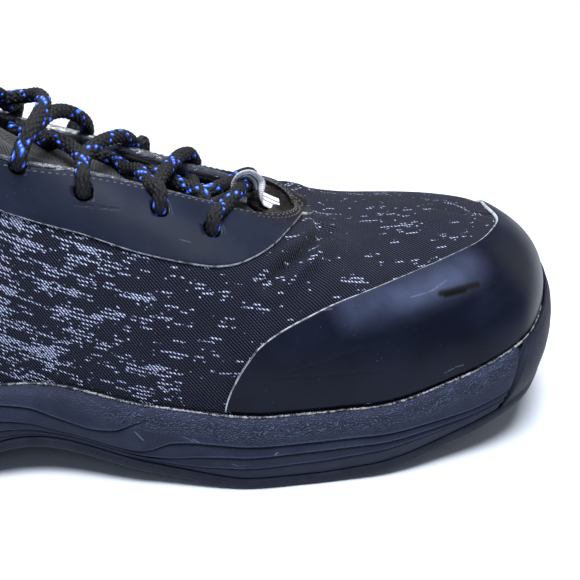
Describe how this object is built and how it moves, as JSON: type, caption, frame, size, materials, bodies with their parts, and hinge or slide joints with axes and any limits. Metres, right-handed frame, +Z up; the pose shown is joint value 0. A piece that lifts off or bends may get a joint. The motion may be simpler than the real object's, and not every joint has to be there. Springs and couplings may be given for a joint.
{
  "type": "safety sneaker",
  "caption": "Low lace-up safety sneaker for the right foot: knitted upper with toe and throat overlays on a thick moulded rubber sole.",
  "frame": {"origin": "on the floor under the centre of the shoe's plan", "axes": "+X points to the toe, +Y to the inner (medial) side, +Z up from the floor the shoe stands on"},
  "size_m": [0.3057, 0.1117, 0.125],
  "materials": {
    "outsole": "matte moulded rubber",
    "midsole": "matte moulded rubber with a fine grain",
    "insole": "matte",
    "knit": "matte twill knit with light flecks",
    "toe_film": "smooth satin film",
    "stay_film": "smooth satin film",
    "tongue": "matte padded textile",
    "webbing": "woven tape",
    "lace": "round braided cord with coloured flecks"
  },
  "bodies": {
    "root": {"outsole": "outsole", "midsole": "midsole", "insole": "insole", "upper": "knit", "toe_guard": "toe_film", "eyestay": "stay_film", "tongue": "tongue", "lace_loop": "webbing", "lace_bar": "lace", "lace_crossing_1": "lace", "lace_crossing_2": "lace", "lace_crossing_3": "lace", "lace_crossing_4": "lace"}
  },
  "joints": []
}
